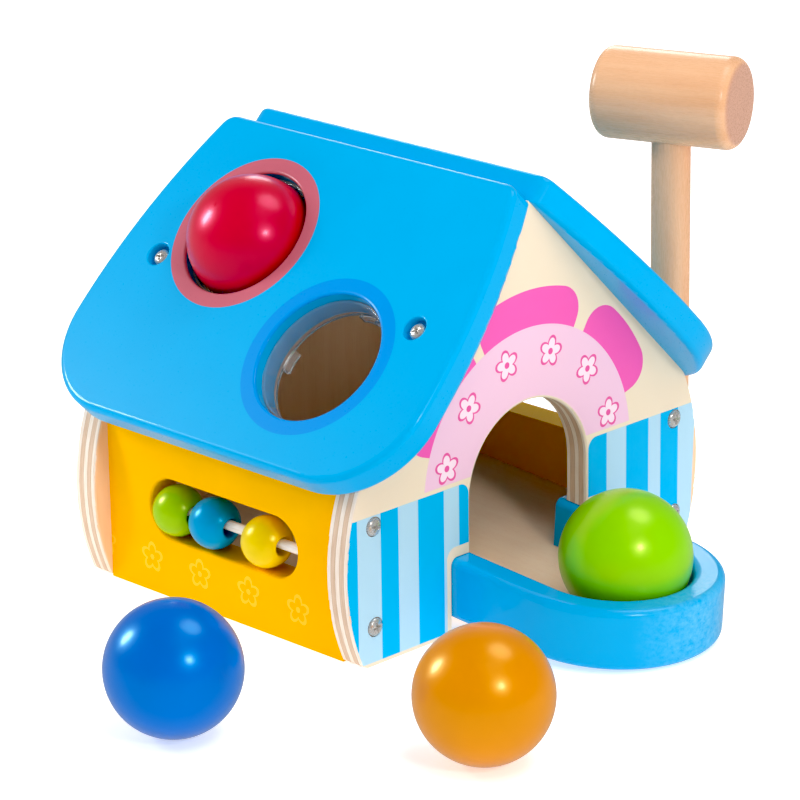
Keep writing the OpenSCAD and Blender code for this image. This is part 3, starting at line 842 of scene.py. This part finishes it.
gripRing = {
    "innerR": 25.7,
    "outerR": 26.9,
    "linerH": 7.6,
    "lipR": 28.4,
    "lipT": 2.0,
    "soft": 0.4,
    "steps": 128,
    "weld": 0.001,
    "lugs": 4,
    "lugTip": 24.2,
    "lugRoot": 26.3,
    "lugTop": -0.5,
    "lugH": 4.0,
    "lugTurn": 20.0,
    "lugSteps": 10,
    "lugSoft": 0.35,
    "edgeAngle": 40,
}


def modelLiner():  # an L-shaped outline with soft corners, spun into a ring
    look = gripRing
    bpy.ops.object.select_all(action="DESELECT")
    bpy.ops.mesh.primitive_plane_add(size=1)
    ring = bpy.context.active_object
    wall = look["outerR"] - look["innerR"]
    bpy.ops.object.mode_set(mode="EDIT")
    bpy.ops.mesh.select_all(action="SELECT")
    bpy.ops.transform.resize(value=(wall, look["lipT"], 1), center_override=(0, 0, 0))
    bpy.ops.transform.translate(value=(look["innerR"] + wall / 2, -look["lipT"] / 2, 0))
    pickVerts(ring, lambda co: co.y > -hair)
    extrude(0, look["linerH"], 0)
    pickVerts(ring, lambda co: co.x > look["outerR"] - hair and co.y < hair)
    extrude(look["lipR"] - look["outerR"], 0, 0)
    bpy.ops.mesh.select_mode(type="FACE")
    bpy.ops.mesh.select_all(action="SELECT")
    bpy.ops.mesh.dissolve_faces(use_verts=True)
    bpy.ops.mesh.delete(type="ONLY_FACE")
    bpy.ops.mesh.select_mode(type="VERT")
    bpy.ops.mesh.select_all(action="SELECT")
    bpy.ops.mesh.bevel(offset=look["soft"], segments=3, affect="VERTICES")
    bpy.ops.mesh.select_all(action="SELECT")
    bpy.ops.mesh.spin(steps=look["steps"], angle=math.tau, center=(0, 0, 0), axis=(0, 1, 0))
    bpy.ops.mesh.select_all(action="SELECT")
    bpy.ops.mesh.remove_doubles(threshold=look["weld"])
    bpy.ops.mesh.normals_make_consistent(inside=False)
    bpy.ops.object.mode_set(mode="OBJECT")
    return ring


def modelLug(turn):  # one finger that holds a ball, turned to its place round the ring
    look = gripRing
    bpy.ops.object.select_all(action="DESELECT")
    bpy.ops.mesh.primitive_plane_add(size=1)
    lug = bpy.context.active_object
    deep = look["lugRoot"] - look["lugTip"]
    lugAngle = math.radians(look["lugTurn"])
    bpy.ops.object.mode_set(mode="EDIT")
    bpy.ops.mesh.select_all(action="SELECT")
    bpy.ops.transform.resize(value=(deep, look["lugH"], 1), center_override=(0, 0, 0))
    bpy.ops.transform.translate(value=(look["lugTip"] + deep / 2, look["lugTop"] - look["lugH"] / 2, 0))
    bpy.ops.mesh.spin(steps=look["lugSteps"], angle=lugAngle, center=(0, 0, 0), axis=(0, 1, 0))
    bpy.ops.mesh.select_all(action="SELECT")
    bpy.ops.mesh.normals_make_consistent(inside=False)
    bpy.ops.object.mode_set(mode="OBJECT")
    lug.data.transform(Matrix.Rotation(math.radians(turn + look["lugTurn"] / 2), 4, "Y"))
    useModifier(lug, "BEVEL", width=look["lugSoft"], segments=2, angle_limit=math.radians(look["edgeAngle"]))
    return lug


def modelRing():
    ring = modelLiner()
    for index in range(gripRing["lugs"]):
        lug = modelLug(360 / gripRing["lugs"] * index)
        useModifier(ring, "BOOLEAN", object=lug, operation="UNION", solver="EXACT")
        bpy.data.objects.remove(lug)
    pickPiece(ring)
    bpy.ops.object.shade_smooth_by_angle(angle=math.radians(gripRing["edgeAngle"]))
    return ring


ring = modelRing()
for nodeName, hole in (("grip_ring_rear", "redHole"), ("grip_ring_front", "emptyHole")):
    holeDown, holeY = roofPaint[hole]
    place = slopeMatrix(-1, holeDown, holeY, 0) @ Matrix.Rotation(math.radians(90), 4, "X")
    finishPiece(copyTo(ring, place), nodeName + ".soft", nodeName, clearRing)
bpy.data.objects.remove(ring)
print("grip rings set")


# floor, light and camera

studio = {
    "floorSize": 8.0,
    "floorPale": tint(250, 250, 250),
    "floorDim": tint(247, 247, 248),
    "floorWaves": (0.004, 0.004, 0.004),
    "floorRough": 0.7,
    "floorGlow": 0.48,
    "sky": 0.45,
    "skyMirrored": 0.26,
    "floorMirrored": 0.5,
    "skySeen": 1.0,
    "horizon": (-0.1, 0.1),
    "black": (0.02, 0.02, 0.02),
    "white": (0.96, 0.96, 0.96),
    "aim": (0, -0.02, 0.07),
    "distance": 1.5,
}
lights = {  # way from the house to the lamp, size in metres, power in watts
    "frontBox": {"way": (-0.26, -0.84, 0.48), "size": (0.22, 0.22), "power": 4.4, "mirrored": True},
    "leftBox": {"way": (-0.45, 0.78, 0.42), "size": (0.3, 0.48), "power": 8.2, "mirrored": True},
    "topBox": {"way": (0.3, -0.22, 0.93), "size": (0.75, 0.75), "power": 4.2, "mirrored": True},
    "rimBox": {"way": (0.67, 0.62, 0.41), "size": (0.5, 0.36), "power": 2.1, "mirrored": True},
    "backFill": {"way": (0.67, 0.6, 0.4), "size": (1.6, 0.8), "power": 5.5, "mirrored": False},
    "frontFill": {"way": (-0.15, -0.48, 0.865), "size": (0.8, 0.8), "power": 6.0, "mirrored": False},
}


def floorMaterial(name):
    material, tree, shader = newMaterial(name)
    cloud = noise(tree, pointInMm(tree), studio["floorWaves"])
    colour = mixColour(tree, remap(tree, cloud, noiseSpread), studio["floorPale"], studio["floorDim"])
    feed(tree, shader.inputs["Base Color"], colour)
    shader.inputs["Roughness"].default_value = studio["floorRough"]
    shader.inputs["Emission Color"].default_value = white
    shader.inputs["Emission Strength"].default_value = studio["floorGlow"]
    return material


bpy.ops.object.select_all(action="DESELECT")
bpy.ops.mesh.primitive_plane_add(size=studio["floorSize"])
floor = bpy.context.active_object
floor.name = "studioFloor"
floor.data.materials.append(floorMaterial("paleFloor"))
floor.visible_glossy = False  # what the paint mirrors below the horizon is floorMirrored instead

world = bpy.data.worlds.new("studioSky")
world.use_nodes = True
skyTree = world.node_tree
background = skyTree.nodes["Background"]
background.inputs["Color"].default_value = white
rays = skyTree.nodes.new("ShaderNodeLightPath")
rayUp = split(skyTree, skyTree.nodes.new("ShaderNodeTexCoord").outputs["Generated"])[2]
mirrored = remap(skyTree, rayUp, studio["horizon"], (studio["floorMirrored"], studio["skyMirrored"]))
strength = remap(skyTree, rays.outputs["Is Glossy Ray"], (0.0, 1.0), (studio["sky"], mirrored))
strength = remap(skyTree, rays.outputs["Is Camera Ray"], (0.0, 1.0), (strength, studio["skySeen"]))
feed(skyTree, background.inputs["Strength"], strength)
bpy.context.scene.world = world

for lampName, box in lights.items():
    way = Vector(box["way"]).normalized()
    bpy.ops.object.light_add(type="AREA", location=Vector(studio["aim"]) + way * studio["distance"])
    lamp = bpy.context.active_object
    lamp.name = lampName
    lamp.rotation_euler = (-way).to_track_quat("-Z", "Y").to_euler()
    lamp.data.shape = "ELLIPSE"
    lamp.data.size, lamp.data.size_y = box["size"]
    lamp.data.energy = box["power"]
    lamp.visible_glossy = box["mirrored"]  # a fill brightens without a reflection

viewpoint = {
    "place": (-1.0461, -1.0650, 0.5693),
    "azimuth": -44.666,
    "elevation": 18.674,
    "roll": -0.815,
    "lens": 183.29,
    "sensor": 36.0,
}
bpy.ops.object.camera_add()
camera = bpy.context.active_object
camera.name = "viewCamera"
camera.data.lens = viewpoint["lens"]
camera.data.sensor_width = viewpoint["sensor"]
camera.matrix_world = (
    Matrix.Translation(viewpoint["place"])
    @ Matrix.Rotation(math.radians(viewpoint["azimuth"]), 4, "Z")
    @ Matrix.Rotation(math.radians(90 - viewpoint["elevation"]), 4, "X")
    @ Matrix.Rotation(math.radians(viewpoint["roll"]), 4, "Z")
)
bpy.context.scene.camera = camera

levels = bpy.context.scene.view_settings
levels.view_transform = "Standard"
levels.use_curve_mapping = True
levels.curve_mapping.black_level = studio["black"]
levels.curve_mapping.white_level = studio["white"]
levels.curve_mapping.update()
print("studio set")
